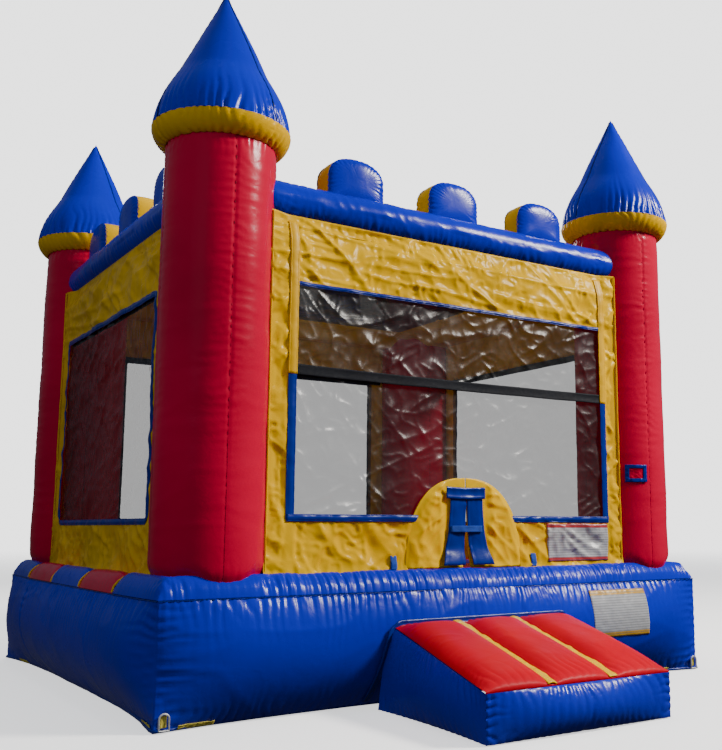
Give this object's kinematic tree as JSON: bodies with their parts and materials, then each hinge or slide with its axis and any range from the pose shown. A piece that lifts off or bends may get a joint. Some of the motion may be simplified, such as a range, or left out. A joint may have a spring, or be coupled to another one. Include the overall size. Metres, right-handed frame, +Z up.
{
  "type": "inflatable bounce house",
  "caption": "Castle-shaped inflatable bounce house with corner turrets, mesh windows, a slit door and an entry ramp.",
  "frame": {"origin": "centre of the base's underside, on the ground", "axes": "+Z up; the front, with the door and ramp, faces -Y; +X is to the right facing the front"},
  "size_m": [4.123, 5.2186, 4.174],
  "materials": {
    "blue_vinyl": "glossy coated vinyl, wrinkled at seams",
    "red_vinyl": "glossy coated vinyl, wrinkled at seams",
    "yellow_vinyl": "glossy coated vinyl, creased",
    "black_mesh": "glossy see-through netting",
    "blue_webbing": "woven",
    "yellow_webbing": "woven",
    "steel": "zinc plated",
    "black_plastic": "moulded",
    "label_white": "blank printed vinyl patch"
  },
  "bodies": {
    "root": {"anchor_strap_back_left": "yellow_webbing", "anchor_strap_back_right": "yellow_webbing", "anchor_strap_front_left": "yellow_webbing", "anchor_strap_front_right": "yellow_webbing", "base_bottom": "blue_vinyl", "base_wall": "blue_vinyl", "beam_back": "blue_vinyl", "beam_front": "blue_vinyl", "beam_left": "blue_vinyl", "beam_right": "blue_vinyl", "column_back_left": "red_vinyl", "column_back_right": "red_vinyl", "column_front_left": "red_vinyl", "column_front_right": "red_vinyl", "cone_back_left": "blue_vinyl", "cone_back_right": "blue_vinyl", "cone_front_left": "blue_vinyl", "cone_front_right": "blue_vinyl", "cone_skirt_back_left": "yellow_vinyl", "cone_skirt_back_right": "yellow_vinyl", "cone_skirt_front_left": "yellow_vinyl", "cone_skirt_front_right": "yellow_vinyl", "crenellation_back_1": "blue_vinyl", "crenellation_back_2": "blue_vinyl", "crenellation_back_3": "blue_vinyl", "crenellation_front_1": "blue_vinyl", "crenellation_front_2": "blue_vinyl", "crenellation_front_3": "blue_vinyl", "crenellation_left_1": "blue_vinyl", "crenellation_left_2": "blue_vinyl", "crenellation_left_3": "blue_vinyl", "crenellation_right_1": "blue_vinyl", "crenellation_right_2": "blue_vinyl", "crenellation_right_3": "blue_vinyl", "floor_strip_1": "blue_vinyl", "floor_strip_2": "red_vinyl", "floor_strip_3": "blue_vinyl", "floor_strip_4": "red_vinyl", "floor_strip_5": "blue_vinyl", "ramp_body": "blue_vinyl", "ramp_top": "red_vinyl", "roof_border": "yellow_vinyl", "roof_mesh": "black_mesh", "wall_back": "yellow_vinyl", "wall_front": "yellow_vinyl", "wall_left": "yellow_vinyl", "wall_right": "yellow_vinyl", "window_mesh_back": "black_mesh", "window_mesh_front": "black_mesh", "window_mesh_left": "black_mesh", "window_mesh_right": "black_mesh"},
    "anchor_ring_back_left": {"anchor_ring_back_left": "steel"},
    "anchor_ring_back_right": {"anchor_ring_back_right": "steel"},
    "anchor_ring_front_left": {"anchor_ring_front_left": "steel"},
    "anchor_ring_front_right": {"anchor_ring_front_right": "steel"},
    "door_flap_left": {"door_flap_left": "yellow_vinyl"},
    "door_flap_right": {"door_flap_right": "yellow_vinyl"},
    "door_strap": {"door_strap": "blue_webbing"},
    "inflation_tube": {"inflation_tube": "blue_vinyl"},
    "zipper_slider": {"zipper_slider": "black_plastic"}
  },
  "joints": [
    {"name": "door_flap_left_swing", "type": "hinge", "parent": "root", "child": "door_flap_left", "pos_m": [-0.302, -1.6085, 0.98], "axis": [0, 0, -1], "range_deg": [0, 75]},
    {"name": "door_flap_right_swing", "type": "hinge", "parent": "root", "child": "door_flap_right", "pos_m": [0.302, -1.6085, 0.98], "axis": [0, 0, -1], "range_deg": [0, 75]},
    {"name": "door_strap_swing", "type": "hinge", "parent": "door_flap_left", "child": "door_strap", "pos_m": [-0.1, -1.613, 0.992], "axis": [0, 0, -1], "range_deg": [0, 150]},
    {"name": "anchor_ring_front_left_tilt", "type": "hinge", "parent": "root", "child": "anchor_ring_front_left", "pos_m": [-1.93, -1.7335, 0.013], "axis": [1, 0, 0], "range_deg": [0, 80]},
    {"name": "anchor_ring_front_right_tilt", "type": "hinge", "parent": "root", "child": "anchor_ring_front_right", "pos_m": [1.93, -1.7335, 0.013], "axis": [1, 0, 0], "range_deg": [0, 80]},
    {"name": "anchor_ring_back_left_tilt", "type": "hinge", "parent": "root", "child": "anchor_ring_back_left", "pos_m": [-1.93, 1.7335, 0.013], "axis": [-1, 0, 0], "range_deg": [0, 80]},
    {"name": "anchor_ring_back_right_tilt", "type": "hinge", "parent": "root", "child": "anchor_ring_back_right", "pos_m": [1.93, 1.7335, 0.013], "axis": [-1, 0, 0], "range_deg": [0, 80]},
    {"name": "inflation_tube_swing", "type": "hinge", "parent": "root", "child": "inflation_tube", "pos_m": [0.95, 1.79, 0.125], "axis": [0, 0, 1], "range_deg": [-20, 20]},
    {"name": "zipper_slide", "type": "slide", "parent": "root", "child": "zipper_slider", "axis": [1, 0, 0], "range_m": [0, 0.45]}
  ]
}
